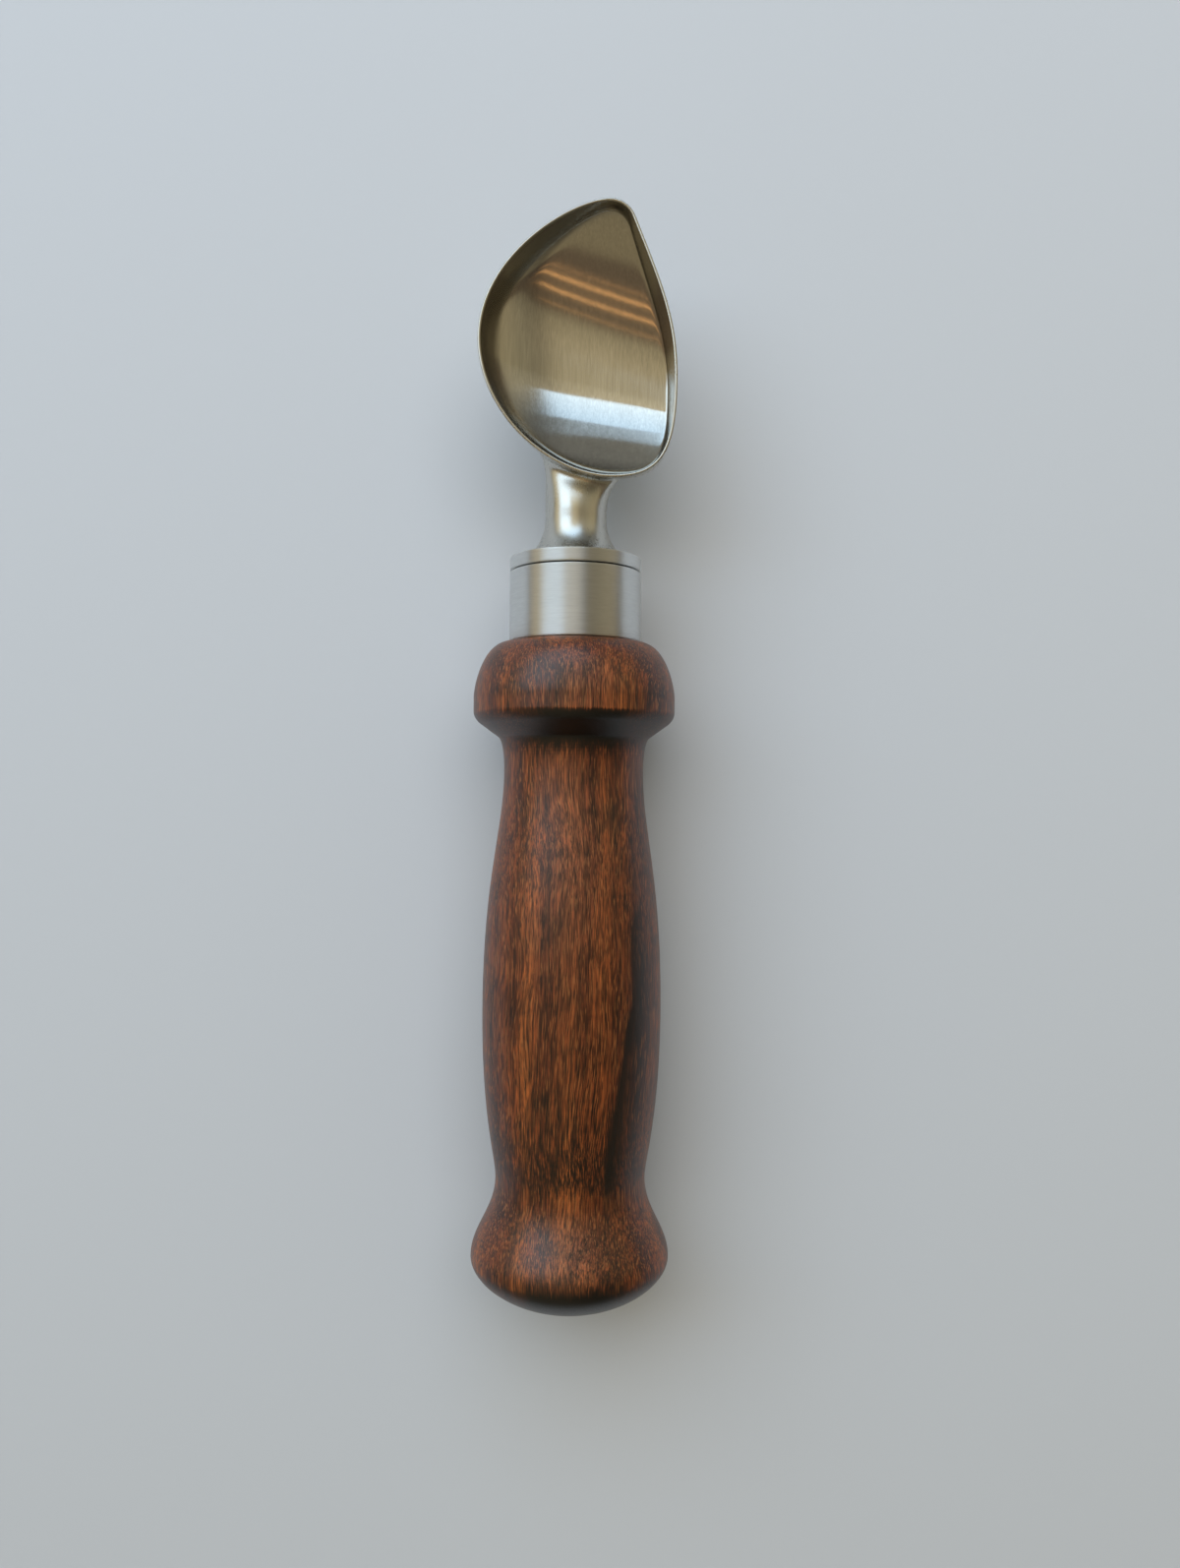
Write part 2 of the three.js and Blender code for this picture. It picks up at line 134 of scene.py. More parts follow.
# Bowl: plan points are measured from the axis and from the heel
HEEL_PLACE = FLANGE_TOP + 13.8
RIM_HEIGHT = 8.5
BOWL_DEPTH = 11.0
BOWL_WALL = 1.3
LIP_WIDTH = 0.6
LIP_ROUND = 0.3
HEEL = np.array([6.6, 0.0])
RIGHT = np.array([18.95, 18.7])
LEFT = np.array([-18.65, 26.2])
TIP_CORNER = np.array([9.3, 52.75])
TIP_ROUND = 4.0
TIP_FULLNESS = 0.6
TIP_RIGHT_HEADING = math.radians(112)
TIP_LEFT_HEADING = math.radians(6.7)
HEEL_PULL = {"left": 11.4, "right": 9.4}
RIGHT_PULL = {"heel": 14.3, "tip": 11.1}
LEFT_PULL = {"heel": 14.6, "tip": 14.2}
TIP_PULL = {"left": 8.6, "right": 13.4}
DEEPEST = np.array([2.5, 21.0])
FLOOR_LEAN = math.radians(24)
HEEL_LEAN = math.radians(12)
FLOOR_HEEL = {"reach": 23.0, "power": 1.6}
FLOOR_TIP = {"reach": 34.0, "power": 2.0}
FLOOR_SIDE = {"reach": 61.0, "power": 2.0}
FLOOR_LEFT = {"reach": 24.1, "power": 3.8}
WALL_TURN = {"right": 0.14, "left": 0.55}
WALL_POWER = 1.0

# Mesh fineness
TURNED_SIDES = 160
THREAD_SIDES = 72
THREAD_STEPS = 12
CURVE_STEPS = 28
COVE_STEPS = 12
ROUND_STEPS = 5
LONGEST_STRETCH = 1.2
END_MARGIN = 0.05
SHORTEST_DIVIDED = 6 * END_MARGIN
HEAD_SIDES = 380
RIM_SAMPLES = 400
LANDING_SAMPLES = 4001
FOOT_STEPS = 16
FLARE_STEPS = 30
BOWL_STEPS = 70
LIP_STEPS = 14
CREASE = math.radians(38)
TINY = 1e-6

# Wood: each noise has its lengths across, along and up the handle
WOOD_GLOSS = {"IOR": 1.5, "Specular_IOR_Level": 0.65}
WANDERS = (
    {"lengths": (26, 55, 26), "reach": (7.0, 0.0, 7.0)},
    {"lengths": (4, 13, 4), "reach": (0.9, 0.0, 0.9)},
)
BANDS = {"lengths": (4.2, 160, 7), "detail": 3.0, "rough": 0.55}
BAND_TONES = [
    (0.30, (0.026, 0.0056, 0.0017)),
    (0.43, (0.070, 0.0155, 0.0034)),
    (0.55, (0.118, 0.0280, 0.0056)),
    (0.68, (0.190, 0.0510, 0.0100)),
]
LINES = {"lengths": (0.5, 40, 0.7), "detail": 4.0, "rough": 0.6}
LINE_SHADES = [(0.34, 0.34), (0.47, 0.90), (0.62, 1.25)]
FIGURE = {"lengths": (9, 6, 9), "detail": 3.0, "rough": 0.6, "distortion": 0.8}
FIGURE_SHADES = [(0.30, 0.50), (0.48, 1.0), (0.72, 1.3)]
FIBRE = {"lengths": (0.17, 6.0, 0.42), "detail": 2.0, "rough": 0.6}
FIBRE_SHADES = [(0.36, 0.28), (0.50, 0.90), (0.64, 1.95)]
FLECKS = {"lengths": (0.18, 3.6, 0.4), "detail": 1.0, "rough": 0.5}
FLECK_SHARES = [(0.57, 0.0), (0.65, 1.0)]
FLECK_STRENGTH = 0.6
FLECK_TONE = (0.30, 0.105, 0.028, 1)
PORES = {"lengths": (0.2, 3.6, 0.4), "detail": 1.0, "rough": 0.4}
PORE_SHARES = [(0.29, 1.0), (0.36, 0.0)]
PORE_STRENGTH = 0.8
PORE_TONE = (0.010, 0.003, 0.002, 1)
WOOD_ROUGHNESS = {"least": 0.29, "fibre": 0.2}
WOOD_RELIEF = {"fibre": 0.5, "distance": 0.03, "strength": 0.30}

# Thin lines and dark streak, by place across and along the handle
HALF_WIDTH = 20.0
LENGTHWISE = {"low": -110.0, "high": 10.0}
STREAK_DRIFT = {"start": -45.0, "slope": 0.107}
STREAK_FRAY = 2.0
THIN_LINES = [(-6.4, 1.0), (-5.6, 0.50), (-4.8, 1.0), (0.32, 1.0), (0.88, 0.50), (1.6, 1.0)]
STREAK_ACROSS = [(10.6, 0.0), (11.2, 1.0), (12.0, 0.95), (14.0, 0.45), (16.8, 0.1)]
STREAK_ALONG = [(-86.0, 0.25), (-77.6, 1.0), (-47.6, 1.0), (-14.0, 0.30), (4.0, 0.1)]
STREAK_TONE = (0.005, 0.0018, 0.0012, 1)

# End grain and painted shade, by how far a face turns towards the bowl, and its black middle
END_GRAIN_AND_SHADE_FRAY = 0.6
END_GRAIN_AND_SHADE_TURN = [(-0.40, 1.0), (-0.20, 0.8), (-0.06, 0.0)]
END_GRAIN_AND_SHADE_STRENGTH = 0.6
END_GRAIN_AND_SHADE_TONE = (0.012, 0.0042, 0.0022, 1)
# The black middle is a painted shadow under the bead, and dark wood at the butt
BLOTCH_MIDDLE = 1.0
BLOTCH_ACROSS = [(7.0, 1.0), (13.0, 0.0)]
BLOTCH_FRAY = 6.0
BLOTCH_ALONG = [(-96.2, 1.0), (-92.0, 0.0)]
BLOTCH_TONE = (0.0015, 0.0006, 0.0004, 1)

# Steel: lengths are those of a scratch along X, Y and Z
TURNED_STEEL = {
    "tone": (0.90, 0.91, 0.90, 1), "lengths": (2.2, 0.16, 2.2), "roughness": 0.50,
    "anisotropy": 1.0, "streaks": 0.06, "depth": 0.003,
}
NECK_STEEL = {
    "tone": (0.53, 0.52, 0.48, 1), "lengths": (0.5, 3.0, 0.5), "roughness": 0.28,
    "anisotropy": 0.0, "streaks": 0.05, "depth": 0.004,
}
BOWL_STEEL = {
    "tone": (0.47, 0.455, 0.415, 1), "lengths": (0.22, 12.0, 0.22), "roughness": 0.15,
    "anisotropy": 1.0, "streaks": 0.13, "depth": 0.003,
}
SCRATCH = {"detail": 3.0, "rough": 0.6}
BROAD_SCRATCH = 4
SCRATCH_SHARE = {"fine": 0.7, "broad": 0.3}
MARK_RANGE = {"dark": 0.3, "middle": 0.5, "bright": 0.7}
SMUDGE = {"lengths": (14, 14, 14), "detail": 3.0, "rough": 0.6}
WEAR = {"scratch": 0.08, "smudge": 0.06}
METAL_RELIEF = 0.4

# Brass
LATHE = {"lengths": (6, 0.15, 6), "detail": 3.0, "rough": 0.6}
TARNISH = {"lengths": (3, 3, 3), "detail": 4.0, "rough": 0.6}
BRASS_TONES = [(0.3, (0.36, 0.22, 0.07)), (0.6, (0.66, 0.46, 0.18))]
BRASS_ROUGHNESS = {"least": 0.2, "lathe": 0.2}
LATHE_DEPTH = 0.01

# Stage: lengths are metres, and a radiance of 1 looks white
FLOOR_HALF = 4.0
FLOOR_FINISH = {"Base_Color": (0.52, 0.56, 0.61, 1), "Roughness": 0.9}
CEILING = 1.0
WINDOW_LIGHTS = (
    {
        "name": "window", "place": (-1.10, 1.45), "size": (1.5, 2.3),
        "colour": (0.50, 0.73, 1.0), "radiance": 2.2,
    },
    {
        "name": "window_middle", "place": (-0.12, 1.80), "size": (0.46, 1.7),
        "colour": (0.47, 0.71, 1.0), "radiance": 2.1,
    },
    {
        "name": "window_side", "place": (0.26, 1.43), "size": (0.30, 0.86),
        "colour": (0.47, 0.71, 1.0), "radiance": 2.1,
    },
)
FILL_LIGHT = {
    "name": "fill", "place": (-0.40, 0.95), "size": (2.0, 1.5),
    "colour": (0.97, 0.97, 1.0), "radiance": 2.4,
}
STRIP = {"name": "strip", "size": (0.6, 0.004), "colour": (1.0, 0.50, 0.17)}
STRIP_ACROSS = -0.1
STRIP_PLACES = ((-0.125, 1.5), (-0.080, 6.0), (-0.015, 5.2), (0.055, 1.4))
ROOM_LEVEL = 1.32
ROOM_ALONG = [
    (-0.90, (0.20, 0.17, 0.11)),
    (-0.325, (0.27, 0.22, 0.13)),
    (-0.295, (0.15, 0.11, 0.07)),
    (-0.02, (0.19, 0.14, 0.085)),
    (0.04, (0.40, 0.33, 0.20)),
    (0.15, (0.52, 0.43, 0.26)),
    (0.34, (0.56, 0.47, 0.28)),
    (0.66, (0.74, 0.64, 0.42)),
    (0.87, (0.27, 0.26, 0.21)),
    (0.97, (0.24, 0.24, 0.22)),
]
ROOM_ACROSS = [
    (-0.97, 1.4),
    (-0.80, 1.0),
    (0.05, 1.0),
    (0.26, (0.46, 0.46, 0.48)),
    (0.60, (0.55, 0.57, 0.60)),
    (0.95, 0.75),
]
ROOM_UPWARD = [(-0.05, 0.20), (0.08, 0.20), (0.2, 1.0)]

# Photograph: lens in pixels of its 1200 by 1594 frame, camera straight above the handle
PHOTO_LONG_SIDE = 1594
PHOTO_LENS = 1153
SENSOR_WIDTH = 36.0
CLIP_START = 10.0
CAMERA_PLACE = (3.2, -5.1, 239.65)
CAMERA_TURN = math.radians(0.513)


# Outlines and meshes

def cubic_at(share, start, leave, arrive, end):
    """The place on a cubic curve at a share of its way."""
    leaving = (1 - share) ** 3 * start + 3 * share * (1 - share) ** 2 * leave
    return leaving + 3 * share ** 2 * (1 - share) * arrive + share ** 3 * end


def cubic(start, leave, arrive, end, steps=CURVE_STEPS):
    """Points of a cubic curve, without its first one."""
    shares = np.linspace(0, 1, steps + 1)[1:, None]
    return cubic_at(shares, *(np.asarray(point, float) for point in (start, leave, arrive, end)))


def rounded(corners, radius):
    """A run of straight stretches with each corner between its two ends rounded off."""
    corners = [np.asarray(corner, float) for corner in corners]
    points = [corners[0]]
    for before, corner, after in zip(corners, corners[1:], corners[2:]):
        to_before, to_after = before - corner, after - corner
        reach = min(radius, np.linalg.norm(to_before) / 2, np.linalg.norm(to_after) / 2)
        enter = corner + to_before / np.linalg.norm(to_before) * reach
        leave = corner + to_after / np.linalg.norm(to_after) * reach
        for share in np.linspace(0, 1, ROUND_STEPS + 1):
            points.append((1 - share) ** 2 * enter + 2 * share * (1 - share) * corner + share ** 2 * leave)
    return points + [corners[-1]]


def supported(points):
    """The same outline with long stretches divided and held close to their ends, so they shade flat."""
    result = [points[0]]
    for start, end in zip(points, points[1:]):
        way = np.subtract(end, start)
        length = np.linalg.norm(way)
        if length > SHORTEST_DIVIDED:
            margin = END_MARGIN / length
            count = max(2, math.ceil(length / LONGEST_STRETCH) + 1)
            result += [np.add(start, way * share) for share in np.linspace(margin, 1 - margin, count)]
        result.append(end)
    return result


def around_axis(radius, place, turns):
    """Points round the handle's axis; a turn of zero is straight up and a quarter turn is towards +X."""
    radius, place, turns = np.broadcast_arrays(radius, place, turns)
    return np.stack([radius * np.sin(turns), place, AXIS_HEIGHT + radius * np.cos(turns)], axis=-1)


def steady_turns(sides):
    """Turns at even steps once round."""
    return np.arange(sides) * 2 * math.pi / sides


def unit(bearing):
    """Plan directions at bearings, which are measured from +X towards +Y."""
    return np.stack([np.cos(bearing), np.sin(bearing)], axis=-1)


def linked(name, data):
    """A new object of the scene."""
    obj = bpy.data.objects.new(name, data)
    bpy.context.scene.collection.objects.link(obj)
    return obj


def grid_object(name, rings, first=None, last=None, endless=False, ring_material=None, brush=None):
    """One closed mesh through rings of equal count, with a fan to a middle point at either end, or endless.

    ring_material gives the material number of the stretch after each ring. brush gives the finish's two
    coordinates at each point of each ring, with one column more to close the ring; the finish's scratches
    run across the first coordinate.
    """
    rings = np.asarray(rings, float)
    count, sides = rings.shape[:2]
    points = list(rings.reshape(-1, 3) * MM)
    spots = []
    for ring in range(count if endless else count - 1):
        upper = (ring + 1) % count
        for side in range(sides):
            spots.append([(ring, side), (ring, side + 1), (upper, side + 1), (upper, side)])
    faces = [[ring * sides + column % sides for ring, column in corners] for corners in spots]
    for middle, ring in ((first, 0), (last, count - 1)):
        if middle is None:
            continue
        points.append(np.asarray(middle, float) * MM)
        for side in range(sides):
            columns = (side + 1, side) if ring == 0 else (side, side + 1)
            faces.append([*(ring * sides + column % sides for column in columns), len(points) - 1])
            spots.append([*((ring, column) for column in columns), (ring, side)])
    mesh = bpy.data.meshes.new(name)
    mesh.from_pydata([tuple(point) for point in points], [], faces)
    if ring_material:
        mesh.polygons.foreach_set("material_index", [ring_material[corners[0][0]] for corners in spots])
    if brush is not None:
        layer = mesh.uv_layers.new(name="brush")
        spread = np.array([brush[spot] for corners in spots for spot in corners])
        layer.data.foreach_set("uv", spread.ravel())
    obj = linked(name, mesh)
    face_outwards(obj)
    return obj


def face_outwards(obj):
    """Faces of a closed mesh turned outwards and shaded smoothly, apart from edges past the crease."""
    work = bmesh.new()
    work.from_mesh(obj.data)
    bmesh.ops.recalc_face_normals(work, faces=work.faces)
    work.to_mesh(obj.data)
    work.free()
    obj.data.shade_smooth()
    obj.data.set_sharp_from_angle(angle=CREASE)


def turned_object(name, profile, endless=False):
    """A profile of radii and places turned about the axis; its ends are on the axis, or it is endless."""
    profile = [np.asarray(point, float) for point in profile]
    turns = steady_turns(TURNED_SIDES)
    ends = (None, None) if endless else (profile[0], profile[-1])
    middles = [None if end is None else (0, end[1], AXIS_HEIGHT) for end in ends]
    body = profile[:-1] if endless else profile[1:-1]
    rings = [around_axis(radius, place, turns) for radius, place in body]
    columns = np.arange(TURNED_SIDES + 1) / TURNED_SIDES
    brush = np.array([[(place * MM, column) for column in columns] for radius, place in body])
    return grid_object(name, rings, *middles, endless=endless, brush=brush)


# Handle

def bead_points(waist):
    """The bead, from the waist over its cove, straight shoulder and crown to its rounded front."""
    slope = np.array([math.cos(SHOULDER_SLOPE), math.sin(SHOULDER_SLOPE)])
    cove = np.array([COVE["radius"], COVE["place"]])
    slope_end = cove + slope * ((SHOULDER_RADIUS - COVE["radius"]) / slope[0] - SHOULDER_ROUND["reach"])
    crown_back = np.array([SHOULDER_RADIUS, CROWN_BACK["place"]])
    crown_front = np.array([SHOULDER_RADIUS, CROWN_FRONT["place"]])
    full_front = (FACE_RADIUS + (SHOULDER_RADIUS - FACE_RADIUS) * FACE_ROUND, WOOD_FACE)
    face = (FACE_RADIUS, WOOD_FACE)
    leave_waist = waist + (0, WAIST["ahead"])
    leave_slope = slope_end + slope * SHOULDER_ROUND["pull"]
    leave_crown = crown_front + (0, CROWN_FRONT["ahead"])
    return [
        *cubic(waist, leave_waist, cove - slope * COVE["pull"], cove, COVE_STEPS),
        slope_end,
        *cubic(slope_end, leave_slope, crown_back - (0, CROWN_BACK["back"]), crown_back, COVE_STEPS),
        crown_front,
        *cubic(crown_front, leave_crown, full_front, face),
    ]


def handle_profile():
    """The turned outline from the butt to the bead, then the tenon and the stepped bore."""
    points = [np.array([0, BUTT]), np.array([BUTT_FLAT_RADIUS, BUTT])]
    knob = np.array([KNOB["radius"], KNOB["place"]])
    points += list(cubic(points[-1], points[-1] + (BUTT_ROUND, 0), knob - (0, KNOB["back"]), knob))
    swells = [KNOB, GRIP_END, BELLY, WAIST]
    for last, swell in zip(swells, swells[1:]):
        start = np.array([last["radius"], last["place"]])
        end = np.array([swell["radius"], swell["place"]])
        points += list(cubic(start, start + (0, last["ahead"]), end - (0, swell["back"]), end))
    points += bead_points(points[-1])
    bore_base = min(STUD_TIP, INSERT_BASE) - BORE_RELIEF
    points += rounded([
        (TENON_RADIUS + TENON_FOOT, WOOD_FACE),
        (TENON_RADIUS, WOOD_FACE),
        (TENON_RADIUS, TENON_END),
        (INSERT_BORE_RADIUS, TENON_END),
        (INSERT_BORE_RADIUS, INSERT_BASE - GAP),
        (STUD_BORE_RADIUS, INSERT_BASE - GAP),
        (STUD_BORE_RADIUS, bore_base),
        (0, bore_base),
    ], EDGE_ROUND)
    return supported(points)


# Collar

def collar_profile():
    """The cup's wall and its pierced end, once round from the middle of the outside."""
    inside = COLLAR_RADIUS - COLLAR_WALL
    ceiling = TENON_END + GAP
    middle = (COLLAR_BASE + COLLAR_END) / 2
    corners = [
        (COLLAR_RADIUS, middle),
        (COLLAR_RADIUS, COLLAR_END),
        (STUD_BORE_RADIUS, COLLAR_END),
        (STUD_BORE_RADIUS, ceiling),
        (inside, ceiling),
        (inside, COLLAR_BASE),
        (COLLAR_RADIUS, COLLAR_BASE),
        (COLLAR_RADIUS, middle),
    ]
    return supported(rounded(corners, EDGE_ROUND))


# Threaded stud and insert

def thread_share(phase):
    """How deep a thread is cut at a phase of its pitch, from 0 on the crest to 1 in the root."""
    away = np.abs((phase % 1) - 0.5) * 2
    return np.clip((away - THREAD_CREST) / (1 - THREAD_CREST - THREAD_ROOT), 0, 1)


def threaded_rings(low, high, pitch, radius, depth, lead_in):
    """Rings of a right-handed outside thread, which fades in over a cone at either end."""
    turns = steady_turns(THREAD_SIDES)
    rings = []
    for place in np.linspace(low, high, math.ceil((high - low) / pitch * THREAD_STEPS) + 1):
        groove = depth * thread_share(place / pitch - turns / (2 * math.pi))
        cone = radius - lead_in + min(place - low, high - place, lead_in)
        rings.append(around_axis(np.minimum(radius - groove, cone), place, turns))
    return rings


def stud_object():
    rings = threaded_rings(STUD_TIP, STUD_TOP, STUD_PITCH, STUD_RADIUS, STUD_THREAD_DEPTH, STUD_LEAD_IN)
    ends = [(0, place, AXIS_HEIGHT) for place in (STUD_TIP, STUD_TOP)]
    return grid_object("stud_thread", rings, *ends)


def insert_object():
    """The insert's outside thread and plain bore, with a driver slot cut across its front end."""
    outside = threaded_rings(
        INSERT_BASE, INSERT_END, INSERT_PITCH, INSERT_RADIUS, INSERT_THREAD_DEPTH, EDGE_ROUND)
    bore = rounded([
        (INSERT_END_FLAT, INSERT_END),
        (STUD_BORE_RADIUS, INSERT_END),
        (STUD_BORE_RADIUS, INSERT_BASE),
        (INSERT_END_FLAT, INSERT_BASE),
    ], EDGE_ROUND)
    inside = [around_axis(radius, place, steady_turns(THREAD_SIDES)) for radius, place in bore]
    insert = grid_object("insert_thread", outside + inside, endless=True)
    cut(insert, slot_tool())
    return insert


def slot_tool():
    """A box across the insert's front end, which reaches as far out of it as into it."""
    mesh = bpy.data.meshes.new("slot")
    work = bmesh.new()
    bmesh.ops.create_cube(work, size=1)
    size = (DRIVER_SLOT["length"], 2 * DRIVER_SLOT["depth"], DRIVER_SLOT["width"])
    bmesh.ops.scale(work, vec=[side * MM for side in size], verts=work.verts)
    work.to_mesh(mesh)
    work.free()
    tool = linked("slot", mesh)
    tool.location = (0, INSERT_END * MM, AXIS_HEIGHT * MM)
    return tool


def cut(obj, tool):
    """Cuts the tool out of the object, for good, and removes the tool."""
    modifier = obj.modifiers.new("cut", "BOOLEAN")
    modifier.object = tool
    modifier.solver = "EXACT"
    evaluated = obj.evaluated_get(bpy.context.evaluated_depsgraph_get())
    mesh = bpy.data.meshes.new_from_object(evaluated)
    obj.modifiers.clear()
    obj.data = mesh
    bpy.data.objects.remove(tool)
    face_outwards(obj)


# Bowl

def rim_outline():
    """The rim seen from above, once round from the heel over the right side, the tip and the left side."""
    right_side, left_side = unit(TIP_RIGHT_HEADING), unit(TIP_LEFT_HEADING)
    tip_right = TIP_CORNER - right_side * TIP_ROUND
    tip_left = TIP_CORNER - left_side * TIP_ROUND
    across, along = np.array([1.0, 0.0]), np.array([0.0, 1.0])
    heel_out, heel_in = HEEL + across * HEEL_PULL["right"], HEEL - across * HEEL_PULL["left"]
    right_in, right_out = RIGHT - along * RIGHT_PULL["heel"], RIGHT + along * RIGHT_PULL["tip"]
    left_in, left_out = LEFT + along * LEFT_PULL["tip"], LEFT - along * LEFT_PULL["heel"]
    round_in = tip_right + (TIP_CORNER - tip_right) * TIP_FULLNESS
    round_out = tip_left + (TIP_CORNER - tip_left) * TIP_FULLNESS
    stretches = [
        (HEEL, heel_out, right_in, RIGHT),
        (RIGHT, right_out, tip_right - right_side * TIP_PULL["right"], tip_right),
        (tip_right, round_in, round_out, tip_left),
        (tip_left, tip_left - left_side * TIP_PULL["left"], left_in, LEFT),
        (LEFT, left_out, heel_in, HEEL),
    ]
    return np.vstack([HEEL[None]] + [cubic(*stretch, RIM_SAMPLES) for stretch in stretches])


class Rim:
    """The rim's outline by length, with its inward side, and by bearing from the deepest place."""

    def __init__(self):
        self.points = rim_outline()
        steps = np.diff(self.points, axis=0)
        self.at = np.concatenate([[0], np.cumsum(np.linalg.norm(steps, axis=1))])
        self.length = self.at[-1]
        heading = np.vstack([steps, steps[:1]]) + np.vstack([steps[-1:], steps])
        heading /= np.linalg.norm(heading, axis=1, keepdims=True)
        self.inward = np.stack([-heading[:, 1], heading[:, 0]], axis=1)

    def sample(self, values, along):
        """Values at lengths along the rim."""
        along = np.mod(along, self.length)
        return np.stack([np.interp(along, self.at, values[:, i]) for i in range(2)], axis=-1)

    def inset(self, along, inset):
        """The points at lengths along the rim, moved inwards."""
        inwards = self.sample(self.inward, along) * np.asarray(inset)[..., None]
        return self.sample(self.points, along) + inwards

    def bearings(self, inset):
        """Bearings from the deepest place, rising, and the distances at them, for the rim moved inwards."""
        arms = self.points + self.inward * inset - DEEPEST
        bearing = np.unwrap(np.arctan2(arms[:, 1], arms[:, 0]))
        return bearing, np.linalg.norm(arms, axis=1)


rim = Rim()
OUTER = rim.bearings(0.0)
INNER = rim.bearings(LIP_WIDTH)


def at_bearing(bearing, bearings, values):
    """Values of a table that goes once round, at any bearing."""
    start = bearings[0]
    return np.interp(start + np.mod(bearing - start, 2 * math.pi), bearings, values)


def arm_length(bearing, table):
    """Distance from the deepest place to the rim at a bearing."""
    return at_bearing(bearing, *table)


def floor_depth(plan, inset):
    """How far below the rim the floor is, or would be under the wall, by place from the deepest one."""
    across = plan[..., 0] * math.cos(FLOOR_LEAN) - plan[..., 1] * math.sin(FLOOR_LEAN)
    along = plan[..., 0] * math.sin(FLOOR_LEAN) + plan[..., 1] * math.cos(FLOOR_LEAN)
    heelward = -plan[..., 0] * math.sin(HEEL_LEAN) - plan[..., 1] * math.cos(HEEL_LEAN)
    slopes = (
        (np.maximum(along, 0), FLOOR_TIP),
        (np.maximum(heelward, 0), FLOOR_HEEL),
        (np.abs(across), FLOOR_SIDE),
        (np.maximum(-plan[..., 0], 0), FLOOR_LEFT),
    )
    rise = sum((run / bend["reach"]) ** bend["power"] for run, bend in slopes)
    return BOWL_DEPTH * (1 - np.minimum(rise, 1)) + BOWL_WALL - inset


def wall_turn(bearing):
    """Width of the bend between the bowl's floor and its wall."""
    leftward = (1 - np.cos(bearing)) / 2
    return WALL_TURN["right"] + (WALL_TURN["left"] - WALL_TURN["right"]) * leftward


def bowl_surface(bearing, level, table, inset):
    """Points of the bowl's outer or inner face, from its bottom (level 0) to the rim (level 1)."""
    bearing, level = np.broadcast_arrays(bearing, np.clip(level, 0, 1))
    arm = arm_length(bearing, table)
    plan = unit(bearing) * (arm * level)[..., None]
    wall = np.exp(-(arm * (1 - level) / wall_turn(bearing)) ** WALL_POWER)
    height = AXIS_HEIGHT + RIM_HEIGHT - floor_depth(plan, inset) * (1 - wall)
    return np.concatenate([plan + DEEPEST + (0, HEEL_PLACE), height[..., None]], axis=-1)


def lip_level(bearing, table, inset):
    """The level at which the rounding of the lip meets the bowl's face."""
    arm = arm_length(bearing, table)
    fade = -np.log(1 - LIP_ROUND / floor_depth(unit(bearing) * arm[..., None], inset))
    return 1 - wall_turn(bearing) * fade ** (1 / WALL_POWER) / arm


def outer_face(spots):
    """Points of the bowl's outer face for spots of a disc; a spot's radius is the level there."""
    bearing = np.arctan2(spots[..., 1], spots[..., 0])
    return bowl_surface(bearing, np.linalg.norm(spots, axis=-1), OUTER, 0.0)


class Landing:
    """Where the neck meets the bowl's outer face, as spots of that face's disc.

    Rays from the landing's middle go through its edge to the rim, so one set of lines covers the face.
    turns are the lines' turns about the neck, edge and shore the spots where they cross the landing's edge
    and the rim, and bearing the rim's bearings there.
    """

    def __init__(self):
        fine = np.linspace(0, 2 * math.pi, LANDING_SAMPLES)
        middle = self.spot(-NECK_SHIFT, LANDING_SIDE)
        rays = self.edge_at(fine) - middle
        rays /= np.linalg.norm(rays, axis=1, keepdims=True)
        ahead = -np.sum(middle * rays, axis=1)
        reach = ahead + np.sqrt(ahead ** 2 + 1 - middle @ middle)
        shore = middle + rays * reach[:, None]
        bearing = np.unwrap(np.arctan2(shore[:, 1], shore[:, 0]))
        steps = np.abs(np.diff(bearing)) + np.abs(np.diff(fine))
        share = np.concatenate([[0], np.cumsum(steps)]) / np.sum(steps)
        even = np.arange(HEAD_SIDES) / HEAD_SIDES
        self.turns = np.interp(even, share, fine)
        self.bearing = np.interp(even, share, bearing)
        self.edge = self.edge_at(self.turns)
        self.shore = unit(self.bearing)

    def spot(self, along, level):
        """The spot at a level, in the direction of the point at a length along the rim."""
        point = rim.inset(np.asarray(along, float), np.zeros(np.shape(along))) - DEEPEST
        bearing = np.arctan2(point[..., 1], point[..., 0])
        return unit(bearing) * np.asarray(level)[..., None]

    def edge_at(self, turn):
        """The landing's edge; a turn of zero is straight up and a quarter turn is towards +X."""
        upward = np.cos(turn)
        far = np.where(upward > 0, LANDING_TOP, LANDING_BOTTOM)
        level = LANDING_SIDE + np.abs(upward) * (far - LANDING_SIDE)
        return self.spot(NECK_SPREAD * np.sin(turn) - NECK_SHIFT, level)


# Head: rings of one casting, from the stud's hole over the neck and the bowl's lip to the bowl's bottom

def flange_rings(turns):
    """The stud's hole, the back of the flange, its edge and its top."""
    foot_radius = NECK_RADIUS + NECK_FOOT_ROUND - math.sqrt(NECK_FOOT_ROUND ** 2 - NECK_FOOT_LENGTH ** 2)
    profile = supported(rounded([
        (0, SOCKET_END),
        (STUD_BORE_RADIUS, SOCKET_END),
        (STUD_BORE_RADIUS, FLANGE_BASE),
        (FLANGE_RADIUS, FLANGE_BASE),
        (FLANGE_RADIUS, FLANGE_TOP),
        (foot_radius, FLANGE_TOP),
    ], EDGE_ROUND))
    return [around_axis(radius, place, turns) for radius, place in profile[1:]]


